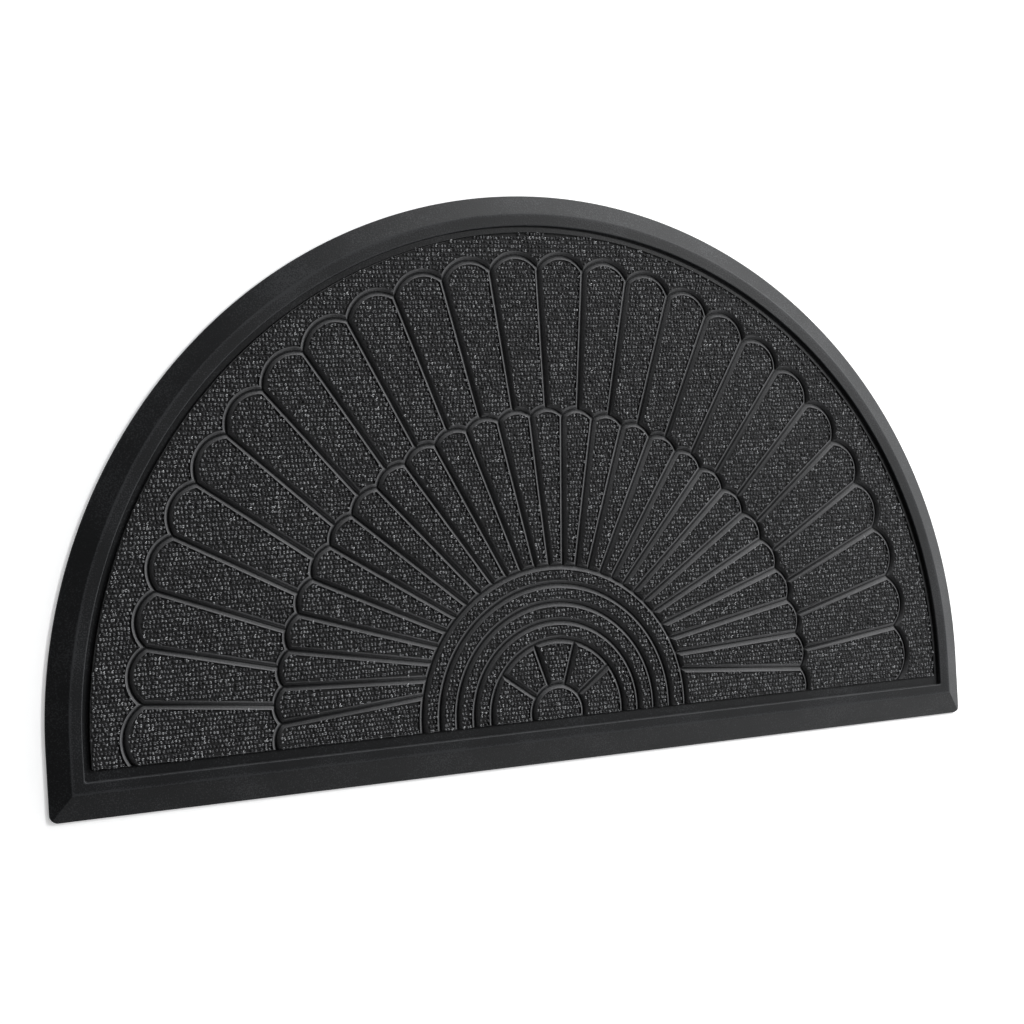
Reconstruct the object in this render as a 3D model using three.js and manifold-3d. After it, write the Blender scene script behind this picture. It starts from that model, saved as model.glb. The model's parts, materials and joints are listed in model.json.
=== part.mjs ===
// Half-round entrance mat: a moulded rubber base with a bevelled border, and a ribbed carpet face
// pressed into it along the lines of a traditional shell fan.
// Millimetres. The mat lies flat: X runs along its straight edge, Y towards the crown of the arc,
// Z up. The origin is on the floor, under the middle of the mat's box.

import * as THREE from "three";
import { mergeVertices } from "three/addons/utils/BufferGeometryUtils.js";
import Module from "manifold-3d";

const wasm = await Module();
wasm.setup();

// Outline: an arc on a low straight stretch
const WIDTH = 762;
const ARC_RADIUS = WIDTH / 2;
const ARC_CENTRE_UP = 48;
const DEPTH = ARC_RADIUS + ARC_CENTRE_UP;

// Heights above the floor
const LIP_HEIGHT = 1.5;
const MAT_THICKNESS = 9.5;
const RIM_HEIGHT = 9.4;
const PILE_TOP = 9.2;
const CHANNEL_HEIGHT = 6.7;
const SEAT_HEIGHT = 5.5;
const CLEARANCE = 0.3;

// Border, from the outline inwards: on the arc and the two sides, and on the straight edge
const BEVEL = { side: 14.5, edge: 18.5 };
const BAND = { side: 8.5, edge: 7.2 };
const RIM_DRAFT = 0.5;
const CHANNEL = { side: 4.6, edge: 7.2 };
const CORNER_RADIUS = 6;
const INNER_CORNER_RADIUS = 1.5;

// Pressed pattern. The spacing of the lines drifts a little round the mat, as it was cut in the
// mould, by three slow waves, in degrees.
const GROOVE_WIDTH = 5.8;
const WEB_EDGE = 0.5;
const OUTER = {
  petals: 26,
  cusp: 315.3,
  crown: 325.6,
  start: -4.1,
  centre: [0, 58.4],
  drift: [0.2, -0.6, 0.9],
};
const INNER = {
  petals: 26,
  cusp: 218.9,
  crown: 224.3,
  start: -1.4,
  centre: [2, 43.8],
  drift: [0.1, -0.3, 0.8],
};
const RINGS = { count: 5, first: 55.2, step: 13.95, centre: [1, 37.8] };
const SPOKE_FEET = { start: 11.9, drift: [-1.4, -1.6, 1.2] };
const HUB_RADIUS = 21.5;
const FAN_WEDGES = 5;

// Where the outer row's first and last cusps lie, below the panels' straight edge
const END_CUSPS = { first: [-322, 31.5], last: [313.5, 32] };

// Steps along curves
const ARC_STEPS = 96;
const CORNER_STEPS = 4;
const CURVE_STEP = 6;

const MATERIALS = {
  rubber_base: { color: 0x1d1e20, roughness: 0.62, metalness: 0 },
  carpet_face: { color: 0x26272a, roughness: 0.95, metalness: 0 },
};

const radians = THREE.MathUtils.degToRad;

// A point given by its place above the straight edge, in the mat's own frame.
function onMat(x, up) {
  return new THREE.Vector2(x, up - DEPTH / 2);
}

// A point at an angle round a centre. Angles run from the right, in degrees.
function polar([x, up], radius, degrees) {
  const a = radians(degrees);
  return onMat(x + radius * Math.cos(a), up + radius * Math.sin(a));
}

// The points of a rounded corner, from one angle to the other round its centre.
function corner(x, up, radius, from, to) {
  const points = [];
  for (let k = 0; k <= CORNER_STEPS; k++) {
    const a = radians(from + ((to - from) * k) / CORNER_STEPS);
    points.push(onMat(x + radius * Math.cos(a), up + radius * Math.sin(a)));
  }
  return points;
}

// The mat's outline, moved inwards by inset.side on the arc and sides and by inset.edge on the
// straight edge. Each outline has the same number of points, so that two of them can be joined.
function outline(inset, cornerRadius) {
  const r = ARC_RADIUS - inset.side;
  const x = r - cornerRadius;
  const up = inset.edge + cornerRadius;
  const arc = [];
  for (let k = 0; k <= ARC_STEPS; k++) {
    arc.push(polar([0, ARC_CENTRE_UP], r, (180 * k) / ARC_STEPS));
  }
  return [
    ...corner(-x, up, cornerRadius, 180, 270),
    ...corner(x, up, cornerRadius, 270, 360),
    ...arc,
  ];
}

// A closed body through level outlines, each with its height, with a flat face at both ends.
function loft(levels) {
  const count = levels[0].points.length;
  const position = [];
  for (const { points, z } of levels) {
    for (const p of points) position.push(p.x, p.y, z);
  }
  const index = [];
  for (let level = 0; level + 1 < levels.length; level++) {
    for (let k = 0; k < count; k++) {
      const a = level * count + k;
      const b = level * count + ((k + 1) % count);
      index.push(a, b, b + count, a, b + count, a + count);
    }
  }
  const last = (levels.length - 1) * count;
  for (const [a, b, c] of THREE.ShapeUtils.triangulateShape(levels[0].points, [])) {
    index.push(a, c, b);
  }
  for (const [a, b, c] of THREE.ShapeUtils.triangulateShape(levels.at(-1).points, [])) {
    index.push(last + a, last + b, last + c);
  }
  const geometry = new THREE.BufferGeometry();
  geometry.setAttribute("position", new THREE.Float32BufferAttribute(position, 3));
  geometry.setIndex(index);
  return geometry;
}

// An upright body on a closed outline, from one height to another.
function slab(points, bottom, top) {
  const depth = top - bottom;
  const options = { depth, bevelEnabled: false, curveSegments: 1 };
  const geometry = new THREE.ExtrudeGeometry(new THREE.Shape(points), options);
  return geometry.translate(0, 0, bottom);
}

function toSolid(geometry) {
  const bare = geometry.clone();
  bare.deleteAttribute("normal");
  bare.deleteAttribute("uv");
  const merged = mergeVertices(bare, 1e-4);
  return new wasm.Manifold(
    new wasm.Mesh({
      numProp: 3,
      vertProperties: new Float32Array(merged.attributes.position.array),
      triVerts: new Uint32Array(merged.index.array),
    }),
  );
}

function fromSolid(solid) {
  const mesh = solid.getMesh();
  const geometry = new THREE.BufferGeometry();
  geometry.setAttribute("position", new THREE.BufferAttribute(mesh.vertProperties, 3));
  geometry.setIndex(new THREE.BufferAttribute(mesh.triVerts, 1));
  geometry.computeVertexNormals();
  return geometry;
}

// How far the spacing of a row's lines has drifted at a share of the way round, in degrees.
function drift(row, share) {
  const waves = row.drift.map((size, k) => size * Math.sin((k + 1) * Math.PI * share));
  return waves.reduce((sum, wave) => sum + wave, 0);
}

// The angle of a line between petals, counted from the left end of the straight edge.
function petalAngle(row, line) {
  const share = line / row.petals;
  return 180 - row.start - (180 - 2 * row.start) * share + drift(row, share);
}

// The cusps of the outer row lie on its lines, and those of the inner row between its lines.
function outerCusp(i) {
  if (i === 0) return onMat(...END_CUSPS.first);
  if (i === OUTER.petals) return onMat(...END_CUSPS.last);
  return polar(OUTER.centre, OUTER.cusp, petalAngle(OUTER, i));
}

const innerCusp = (j) => polar(INNER.centre, INNER.cusp, petalAngle(INNER, j - 0.5));
const innerCrown = (i) => polar(INNER.centre, INNER.crown, petalAngle(INNER, i));

// Where the line below inner cusp j meets the outermost ring.
function spokeFoot(j) {
  const { start } = SPOKE_FEET;
  const even = 180 - start - ((180 - 2 * start) * (j - 1)) / (INNER.petals - 1);
  const angle = even + drift(SPOKE_FEET, (j - 0.5) / INNER.petals);
  return polar(RINGS.centre, ringRadius(RINGS.count), angle);
}

function ringRadius(number) {
  return RINGS.first + RINGS.step * (number - 1);
}

// How far the middle of a straight line between two cusps lies inside their circle.
function chordDrop(row) {
  const half = radians(180 / row.petals) / 2;
  return row.cusp * (1 - Math.cos(half));
}

// A panel is bounded by straight lines and circles, each the middle of a groove. They run
// anticlockwise round the panel, which stands half a groove's width back from them.
function straight(from, to, back = GROOVE_WIDTH / 2) {
  const along = to.clone().sub(from).normalize();
  const inwards = new THREE.Vector2(-along.y, along.x);
  return { kind: "line", point: from.clone().addScaledVector(inwards, back), along };
}

// A circle that bulges out of the panel, or one that the panel lies round.
function bulging(centre, radius) {
  return { kind: "circle", centre, radius: radius - GROOVE_WIDTH / 2, turn: 1 };
}

function hollowing(centre, radius) {
  return { kind: "circle", centre, radius: radius + GROOVE_WIDTH / 2, turn: -1 };
}

function lineMeetsLine(a, b) {
  const t = b.point.clone().sub(a.point).cross(b.along) / a.along.cross(b.along);
  return [a.point.clone().addScaledVector(a.along, t)];
}

function lineMeetsCircle(line, circle) {
  const toCentre = circle.centre.clone().sub(line.point);
  const foot = line.point.clone().addScaledVector(line.along, toCentre.dot(line.along));
  const off = foot.distanceTo(circle.centre);
  const half = Math.sqrt(Math.max(circle.radius ** 2 - off ** 2, 0));
  return [-half, half].map((t) => foot.clone().addScaledVector(line.along, t));
}

function circleMeetsCircle(a, b) {
  const between = b.centre.clone().sub(a.centre);
  const apart = between.length();
  const along = (a.radius ** 2 - b.radius ** 2 + apart ** 2) / (2 * apart);
  const half = Math.sqrt(Math.max(a.radius ** 2 - along ** 2, 0));
  const unit = between.divideScalar(apart);
  const across = new THREE.Vector2(-unit.y, unit.x);
  const foot = a.centre.clone().addScaledVector(unit, along);
  return [-half, half].map((t) => foot.clone().addScaledVector(across, t));
}

// Where two edges of a panel meet, nearest to the corner of their grooves.
function meet(a, b, near) {
  let points = [];
  if (a.kind === "line" && b.kind === "line") points = lineMeetsLine(a, b);
  else if (a.kind === "line") points = lineMeetsCircle(a, b);
  else if (b.kind === "line") points = lineMeetsCircle(b, a);
  else points = circleMeetsCircle(a, b);
  return points.sort((p, q) => p.distanceTo(near) - q.distanceTo(near))[0];
}

// The points of an edge from one corner of the panel up to the next, without the last.
function edgePoints(edge, from, to) {
  if (edge.kind === "line") return [from];
  const start = from.clone().sub(edge.centre).angle();
  const end = to.clone().sub(edge.centre).angle();
  const turn = THREE.MathUtils.euclideanModulo((end - start) * edge.turn, 2 * Math.PI);
  const steps = Math.max(1, Math.round((turn * edge.radius) / CURVE_STEP));
  const points = [];
  for (let k = 0; k < steps; k++) {
    const a = start + (edge.turn * turn * k) / steps;
    points.push(
      new THREE.Vector2(Math.cos(a), Math.sin(a)).multiplyScalar(edge.radius).add(edge.centre),
    );
  }
  return points;
}

// A panel's outline, from its edges in order. Each has the corner of the grooves where it starts.
function panel(edges) {
  const corners = edges.map(([near, edge], k) => {
    const before = edges[(k + edges.length - 1) % edges.length][1];
    return meet(before, edge, near);
  });
  return edges.flatMap(([, edge], k) =>
    edgePoints(edge, corners[k], corners[(k + 1) % corners.length]),
  );
}

// The circle of a petal's round top, through its two cusps and its crown.
function scallopCircle(row, left, right) {
  const rise = row.crown - row.cusp + chordDrop(row);
  const half = left.distanceTo(right) / 2;
  const radius = (half * half + rise * rise) / (2 * rise);
  const chord = right.clone().sub(left).normalize();
  const outwards = new THREE.Vector2(-chord.y, chord.x);
  const middle = left.clone().add(right).multiplyScalar(0.5);
  return { centre: middle.addScaledVector(outwards, rise - radius), radius };
}

const outerScallop = (i) => scallopCircle(OUTER, outerCusp(i - 1), outerCusp(i));
const innerScallop = (j) => scallopCircle(INNER, innerCusp(j - 1), innerCusp(j));
const ringCentre = onMat(...RINGS.centre);

// The panels' straight edge, along the mat's own.
function baseEdge() {
  const up = panelInset.edge;
  return straight(onMat(-ARC_RADIUS, up), onMat(ARC_RADIUS, up), 0);
}

// The outer petal between lines i - 1 and i. The first and the last end at the straight edge.
function outerPetal(i) {
  const top = outerScallop(i);
  const leftFoot = innerScallop(i);
  const rightFoot = innerScallop(i + 1);
  const right = i < OUTER.petals ? straight(innerCrown(i), outerCusp(i)) : baseEdge();
  const left = i > 1 ? straight(outerCusp(i - 1), innerCrown(i - 1)) : baseEdge();
  return panel([
    [innerCrown(i), right],
    [outerCusp(i), bulging(top.centre, top.radius)],
    [outerCusp(i - 1), left],
    [innerCrown(i - 1), hollowing(leftFoot.centre, leftFoot.radius)],
    [innerCusp(i), hollowing(rightFoot.centre, rightFoot.radius)],
  ]);
}

// The inner petal between cusps j - 1 and j, down to the outermost ring.
function innerPetal(j) {
  const top = innerScallop(j);
  const right = j <= INNER.petals ? straight(spokeFoot(j), innerCusp(j)) : baseEdge();
  const left = j > 1 ? straight(innerCusp(j - 1), spokeFoot(j - 1)) : baseEdge();
  const outermost = ringRadius(RINGS.count);
  return panel([
    [spokeFoot(j), right],
    [innerCusp(j), bulging(top.centre, top.radius)],
    [innerCusp(j - 1), left],
    [spokeFoot(j - 1), hollowing(ringCentre, outermost)],
  ]);
}

// A half-round band between two circles round the rings' centre, cut off by the straight edge.
function ringBand(inside, outside) {
  const foot = (x) => onMat(RINGS.centre[0] + x, panelInset.edge);
  return panel([
    [foot(inside), baseEdge()],
    [foot(outside), bulging(ringCentre, outside)],
    [foot(-outside), baseEdge()],
    [foot(-inside), hollowing(ringCentre, inside)],
  ]);
}

// A wedge of the fan in the middle, counted from the right.
function fanWedge(number) {
  const spoke = (k, radius) => polar(RINGS.centre, radius, (180 * k) / FAN_WEDGES);
  const outside = ringRadius(1);
  const near = spoke(number - 1, HUB_RADIUS);
  const far = spoke(number, outside);
  const first = number === 1 ? baseEdge() : straight(near, spoke(number - 1, outside));
  const last = number === FAN_WEDGES ? baseEdge() : straight(far, spoke(number, HUB_RADIUS));
  return panel([
    [near, first],
    [spoke(number - 1, outside), bulging(ringCentre, outside)],
    [far, last],
    [spoke(number, HUB_RADIUS), hollowing(ringCentre, HUB_RADIUS)],
  ]);
}

function hub() {
  const foot = (x) => onMat(RINGS.centre[0] + x, panelInset.edge);
  return panel([
    [foot(-HUB_RADIUS), baseEdge()],
    [foot(HUB_RADIUS), bulging(ringCentre, HUB_RADIUS)],
  ]);
}

// The field round the fan: the outline's arc outside, and the scallops' outer sides inside.
function field() {
  const rim = outline(panelInset, INNER_CORNER_RADIUS);
  const leftCorner = rim.slice(0, CORNER_STEPS + 1);
  const rightAndArc = rim.slice(CORNER_STEPS + 1);
  const edges = [];
  for (let i = 1; i <= OUTER.petals; i++) {
    const { centre, radius } = outerScallop(i);
    edges.push([outerCusp(i - 1), hollowing(centre, radius)]);
  }
  const base = baseEdge();
  const feet = [base, ...edges.map(([, edge]) => edge), base];
  const nearest = [...edges.map(([near]) => near), outerCusp(OUTER.petals)];
  const corners = nearest.map((near, k) => meet(feet[k], feet[k + 1], near));
  const scallops = edges.flatMap(([, edge], k) => edgePoints(edge, corners[k], corners[k + 1]));
  return [...rightAndArc, ...leftCorner, ...scallops, corners.at(-1)];
}

// The outlines of all the panels that stand up between the grooves.
function panels() {
  const all = [field(), hub()];
  for (let i = 1; i <= OUTER.petals; i++) all.push(outerPetal(i));
  for (let j = 1; j <= INNER.petals + 1; j++) all.push(innerPetal(j));
  for (let number = 1; number < RINGS.count; number++) {
    all.push(ringBand(ringRadius(number), ringRadius(number + 1)));
  }
  for (let number = 1; number <= FAN_WEDGES; number++) all.push(fanWedge(number));
  return all;
}

const add = (a, b) => ({ side: a.side + b.side, edge: a.edge + b.edge });
const wider = (a, by) => ({ side: a.side + by, edge: a.edge + by });

const creaseInset = BEVEL;
const rimInset = add(BEVEL, BAND);
const rimFootInset = wider(rimInset, RIM_DRAFT);
const seatInset = add(rimFootInset, CHANNEL);
const carpetInset = wider(seatInset, CLEARANCE);
const panelInset = wider(carpetInset, WEB_EDGE);

function rubberBase() {
  const none = { side: 0, edge: 0 };
  const levels = [
    { points: outline(none, CORNER_RADIUS), z: 0 },
    { points: outline(none, CORNER_RADIUS), z: LIP_HEIGHT },
    { points: outline(creaseInset, INNER_CORNER_RADIUS), z: MAT_THICKNESS },
    { points: outline(rimInset, INNER_CORNER_RADIUS), z: RIM_HEIGHT },
    { points: outline(rimFootInset, INNER_CORNER_RADIUS), z: CHANNEL_HEIGHT },
    { points: outline(seatInset, INNER_CORNER_RADIUS), z: CHANNEL_HEIGHT },
    { points: outline(seatInset, INNER_CORNER_RADIUS), z: SEAT_HEIGHT },
  ];
  return loft(levels);
}

// One sheet: a thin pressed web all over, and the pile left standing on it in panels.
function carpetFace() {
  const bottom = SEAT_HEIGHT + CLEARANCE;
  const inWeb = (bottom + CHANNEL_HEIGHT) / 2;
  let solid = toSolid(slab(outline(carpetInset, INNER_CORNER_RADIUS), bottom, CHANNEL_HEIGHT));
  for (const points of panels()) {
    solid = solid.add(toSolid(slab(points, inWeb, PILE_TOP)));
  }
  return fromSolid(solid);
}

function piece(name, geometry) {
  const mesh = new THREE.Mesh(geometry, new THREE.MeshStandardMaterial(MATERIALS[name]));
  mesh.name = name;
  return mesh;
}

const mat = new THREE.Group();
mat.name = "half_round_doormat";
mat.add(piece("rubber_base", rubberBase()));
mat.add(piece("carpet_face", carpetFace()));

export default mat;
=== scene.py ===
"""Half-round entrance mat: a moulded rubber base and a ribbed carpet face pressed into it.

Lengths in the pattern's own code are in millimetres, measured in the mat's plane as complex
numbers: x along the straight edge, and y up towards the crown of the arc. Meshes are in metres.
"""

import cmath
import json
import math
import random

import bpy
import numpy as np
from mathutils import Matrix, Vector
from mathutils.geometry import delaunay_2d_cdt

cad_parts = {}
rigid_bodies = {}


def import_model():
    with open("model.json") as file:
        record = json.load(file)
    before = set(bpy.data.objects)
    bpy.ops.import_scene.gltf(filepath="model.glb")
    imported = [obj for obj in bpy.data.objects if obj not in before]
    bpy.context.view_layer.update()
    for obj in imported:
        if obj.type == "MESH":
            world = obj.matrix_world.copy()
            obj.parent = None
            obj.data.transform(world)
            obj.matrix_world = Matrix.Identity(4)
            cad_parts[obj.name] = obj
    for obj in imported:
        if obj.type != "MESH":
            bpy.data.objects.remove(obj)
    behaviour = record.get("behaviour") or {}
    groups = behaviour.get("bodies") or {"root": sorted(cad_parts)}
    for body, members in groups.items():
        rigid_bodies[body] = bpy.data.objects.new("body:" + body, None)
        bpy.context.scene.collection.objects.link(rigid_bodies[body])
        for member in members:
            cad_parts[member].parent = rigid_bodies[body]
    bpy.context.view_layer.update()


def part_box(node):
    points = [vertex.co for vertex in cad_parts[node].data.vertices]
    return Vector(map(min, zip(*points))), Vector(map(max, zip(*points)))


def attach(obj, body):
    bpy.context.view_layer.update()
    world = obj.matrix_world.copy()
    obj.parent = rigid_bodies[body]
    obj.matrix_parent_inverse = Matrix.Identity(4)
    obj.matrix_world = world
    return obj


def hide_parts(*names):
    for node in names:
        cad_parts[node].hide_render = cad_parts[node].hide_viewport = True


bl_info = {
    "name": "Half-round Entrance Mat",
    "version": (1, 0, 0),
    "blender": (4, 5, 0),
    "location": "3D Viewport > Sidebar > Mat",
    "description": "Builds a rubber and ribbed carpet entrance mat pressed in a shell fan pattern",
    "category": "Object",
}

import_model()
BASE_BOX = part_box("rubber_base")
CARPET_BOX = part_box("carpet_face")

MM = 0.001
ROOT = "root"

# Outline: an arc on a low straight stretch
WIDTH = (BASE_BOX[1].x - BASE_BOX[0].x) / MM
DEPTH = (BASE_BOX[1].y - BASE_BOX[0].y) / MM
ARC_RADIUS = WIDTH / 2
ARC_CENTRE_UP = DEPTH - ARC_RADIUS

# Border, from the outline inwards: on the arc and the two sides, and on the straight edge
BEVEL = (14.5, 18.5)
BAND = (8.5, 7.2)
RIM_DRAFT = 0.5
CHANNEL = (4.6, 7.2)
CLEARANCE = 0.3
WEB_EDGE = 0.5
OUTER_CORNER = 6.0
INNER_CORNER = 1.5

# Heights above the floor
MAT_TOP = BASE_BOX[1].z / MM
SHEET_BOTTOM = CARPET_BOX[0].z / MM
RIM_TOP = 9.4
CHANNEL_TOP = 6.7
SEAT_TOP = 5.5

# The pressed pattern, from the outer row of petals to the fan in the middle. The spacing of the
# lines drifts a little round the mat, as it was cut in the mould, by three slow waves, in degrees.
OUTER = {
    "petals": 26, "cusp": 315.3, "crown": 325.6, "start": -4.1,
    "centre": (0, 58.4), "drift": (0.2, -0.6, 0.9),
}
INNER = {
    "petals": 26, "cusp": 218.9, "crown": 224.3, "start": -1.4,
    "centre": (2, 43.8), "drift": (0.1, -0.3, 0.8),
}
END_CUSPS = ((-322, 31.5), (313.5, 32))
RING_COUNT = 5
RING_FIRST = 55.2
RING_STEP = 13.95
RING_CENTRE = (1, 37.8)
SPOKE_FEET = {"start": 11.9, "drift": (-1.4, -1.6, 1.2)}
HUB_RADIUS = 21.5
FAN_WEDGES = 5

# Half the section of a pressed line, a wide V: shares of its half width, and of the rubber's rise
GROOVE_SECTION = ((0.08, 0.0), (0.28, 0.17), (0.42, 0.34), (0.64, 0.62), (0.86, 0.89), (1.0, 1.0))
GROOVE_BOTTOM = 6.1
GROOVE_TOP = 8.8
# How far the backing's edge lies inside the groove, in millimetres, and its share of the way up
BACKING_EDGE = ((0.12, 0.4), (0.28, 0.0))
# Bands of the section, from the bottom, that take the base's dark rubber as painted shade in the
# lines' bottoms
PAINTED_SHADE_BANDS = 2

# Steps along curves
ARC_STEPS = 180
CORNER_STEPS = 8
CURVE_STEP = 3.0

# The pile's stretches, as shares of the carpet's width, and how many different tufts it has
PILE_ENDS = (0.0, 0.2, 0.37, 0.5, 0.63, 0.8, 1.0)
TUFT_KINDS = 9

# The camera as fitted to the photograph: metres, degrees, and the lens for a 36 mm sensor
CAMERA_PLACE = (-0.6195, -0.0130, 1.2589)
CAMERA_TURN = (1.0746, -25.2530, -3.5197)
FOCAL_LENGTH = 65.04
SENSOR_WIDTH = 36.0

# The key light: size and distance in metres, azimuth and elevation in degrees
KEY_SIZE = 0.3
KEY_DISTANCE = 2.1
KEY_SIDE = (26, 34)

# Soft lights round the studio: azimuth and elevation in degrees, and strength. The edge gives how
# far from its middle, in degrees, each one ends and is full.
SOFT_LIGHTS = (
    (0, 12, 3.2), (60, 12, 5.9), (135, 12, 0.5), (190, 0, 1.5), (315, 12, 2.8), (0, 52, 0.25),
)
SOFT_EDGE = (34, 6)

# The floor's corners, and how far it reaches in metres
FLOOR_SIDES = ((-1, -1), (1, -1), (1, 1), (-1, 1))
FLOOR_REACH = 6.0

BODY_RUBBER_AND_LINE_SHADE = "moulded SBR rubber, also painted line shade"


def mat_point(x, up):
    """A point given by its place above the straight edge, round the middle of the mat."""
    return complex(x, up - DEPTH / 2)


def polar(centre, radius, degrees):
    """A point round a centre that is given by its place above the straight edge."""
    return mat_point(*centre) + cmath.rect(radius, math.radians(degrees))


def corner(x, up, radius, start, end):
    """The points of a round corner, from the start angle to the end angle in degrees."""
    steps = [start + (end - start) * k / CORNER_STEPS for k in range(CORNER_STEPS + 1)]
    return [mat_point(x, up) + cmath.rect(radius, math.radians(a)) for a in steps]


def outline(side, edge, corner_radius):
    """The mat's outline moved inwards, by side on the arc and sides and by edge below."""
    radius = ARC_RADIUS - side
    x = radius - corner_radius
    up = edge + corner_radius
    centre = (0, ARC_CENTRE_UP)
    arc = [polar(centre, radius, 180 * k / ARC_STEPS) for k in range(ARC_STEPS + 1)]
    return (
        corner(-x, up, corner_radius, 180, 270)
        + corner(x, up, corner_radius, 270, 360)
        + arc
    )


def drift(row, share):
    """A row's drift in degrees, a share of the way round it."""
    waves = (size * math.sin(k * math.pi * share) for k, size in enumerate(row["drift"], 1))
    return sum(waves)


def petal_angle(row, line):
    """The angle of a line between petals, counted from the left end of the straight edge."""
    share = line / row["petals"]
    return 180 - row["start"] - (180 - 2 * row["start"]) * share + drift(row, share)


def outer_cusp(i):
    """Where two petals of the outer row meet. Its end cusps lie below the panels' edge."""
    if i in (0, OUTER["petals"]):
        return mat_point(*END_CUSPS[min(i, 1)])
    return polar(OUTER["centre"], OUTER["cusp"], petal_angle(OUTER, i))


def inner_cusp(j):
    """Where two petals of the inner row meet."""
    return polar(INNER["centre"], INNER["cusp"], petal_angle(INNER, j - 0.5))


def inner_crown(i):
    """Where a line between petals of the outer row meets the inner row."""
    return polar(INNER["centre"], INNER["crown"], petal_angle(INNER, i))


def ring_radius(number):
    return RING_FIRST + RING_STEP * (number - 1)


def spoke_foot(j):
    """Where the line below inner cusp j meets the outermost ring."""
    start = SPOKE_FEET["start"]
    even = 180 - start - (180 - 2 * start) * (j - 1) / (INNER["petals"] - 1)
    angle = even + drift(SPOKE_FEET, (j - 0.5) / INNER["petals"])
    return polar(RING_CENTRE, ring_radius(RING_COUNT), angle)


class Straight:
    """A straight middle line of a groove, with the panel on its left. When it is moved back into
    the panel, it moves by its least or more."""

    def __init__(self, start, end, least=-math.inf):
        self.along = (end - start) / abs(end - start)
        self.start = start
        self.least = least

    def moved(self, back):
        start = self.start + 1j * self.along * max(back, self.least)
        return Straight(start, start + self.along)

    def points(self, start, end):
        return [start]


class Arc:
    """A round middle line of a groove. Turn is 1 where it bulges out of the panel, or else -1."""

    def __init__(self, centre, radius, turn):
        self.centre = centre
        self.radius = radius
        self.turn = turn

    def moved(self, back):
        return Arc(self.centre, self.radius - self.turn * back, self.turn)

    def points(self, start, end):
        first = cmath.phase(start - self.centre)
        last = cmath.phase(end - self.centre)
        sweep = ((last - first) * self.turn) % (2 * math.pi)
        steps = max(1, round(sweep * self.radius / CURVE_STEP))
        angles = [first + self.turn * sweep * k / steps for k in range(steps)]
        return [self.centre + cmath.rect(self.radius, a) for a in angles]


def dot(a, b):
    return (a.conjugate() * b).real


def cross(a, b):
    return (a.conjugate() * b).imag


def crossings(a, b):
    """The points where two lines meet, straight or round."""
    if isinstance(a, Straight) and isinstance(b, Straight):
        return [a.start + a.along * cross(b.start - a.start, b.along) / cross(a.along, b.along)]
    if isinstance(b, Straight):
        return crossings(b, a)
    if isinstance(a, Straight):
        foot = a.start + a.along * dot(a.along, b.centre - a.start)
        half = math.sqrt(max(b.radius**2 - abs(foot - b.centre) ** 2, 0))
        return [foot - a.along * half, foot + a.along * half]
    apart = b.centre - a.centre
    unit = apart / abs(apart)
    along = (a.radius**2 - b.radius**2 + abs(apart) ** 2) / (2 * abs(apart))
    half = math.sqrt(max(a.radius**2 - along**2, 0))
    return [a.centre + unit * complex(along, -half), a.centre + unit * complex(along, half)]


def meet(a, b, near):
    """The crossing of two lines that is nearest to a point."""
    return min(crossings(a, b), key=lambda p: abs(p - near))


def panel_outline(edges, back):
    """A panel's outline from its groove lines, each with the corner where it starts."""
    moved = [(near, line.moved(back)) for near, line in edges]
    corners = [meet(moved[k - 1][1], line, near) for k, (near, line) in enumerate(moved)]
    points = []
    for k, (_, line) in enumerate(moved):
        points += line.points(corners[k], corners[(k + 1) % len(corners)])
    return points


def scallop(row, left, right, turn):
    """The circle of a petal's round top, through its two cusps and its crown."""
    half_angle = math.radians(180 / row["petals"]) / 2
    rise = row["crown"] - row["cusp"] + row["cusp"] * (1 - math.cos(half_angle))
    half = abs(right - left) / 2
    radius = (half * half + rise * rise) / (2 * rise)
    outwards = 1j * (right - left) / abs(right - left)
    return Arc((left + right) / 2 + outwards * (rise - radius), radius, turn)


def outer_scallop(i, turn):
    return scallop(OUTER, outer_cusp(i - 1), outer_cusp(i), turn)


def inner_scallop(j, turn):
    return scallop(INNER, inner_cusp(j - 1), inner_cusp(j), turn)


def panel_inset():
    """How far inside the mat's outline the carpet's panels start, at the sides and below."""
    more = RIM_DRAFT + CLEARANCE + WEB_EDGE
    return tuple(BEVEL[k] + BAND[k] + CHANNEL[k] + more for k in (0, 1))


def base_edge(groove):
    """The straight edge of the panels, half a groove below where they start."""
    up = panel_inset()[1] - groove / 2
    least = groove / 2 - WEB_EDGE / 2
    return Straight(mat_point(-ARC_RADIUS, up), mat_point(ARC_RADIUS, up), least)


def outer_petal(i, groove):
    last = i == OUTER["petals"]
    right = base_edge(groove) if last else Straight(inner_crown(i), outer_cusp(i))
    left = base_edge(groove) if i == 1 else Straight(outer_cusp(i - 1), inner_crown(i - 1))
    return [
        (inner_crown(i), right),
        (outer_cusp(i), outer_scallop(i, 1)),
        (outer_cusp(i - 1), left),
        (inner_crown(i - 1), inner_scallop(i, -1)),
        (inner_cusp(i), inner_scallop(i + 1, -1)),
    ]


def inner_petal(j, groove):
    last = j > INNER["petals"]
    right = base_edge(groove) if last else Straight(spoke_foot(j), inner_cusp(j))
    left = base_edge(groove) if j == 1 else Straight(inner_cusp(j - 1), spoke_foot(j - 1))
    ring = Arc(mat_point(*RING_CENTRE), ring_radius(RING_COUNT), -1)
    return [
        (spoke_foot(j), right),
        (inner_cusp(j), inner_scallop(j, 1)),
        (inner_cusp(j - 1), left),
        (spoke_foot(j - 1), ring),
    ]


def ring_foot(x):
    """A point on the panels' straight edge, by its distance from the rings' centre."""
    return mat_point(RING_CENTRE[0] + x, panel_inset()[1])


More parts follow.
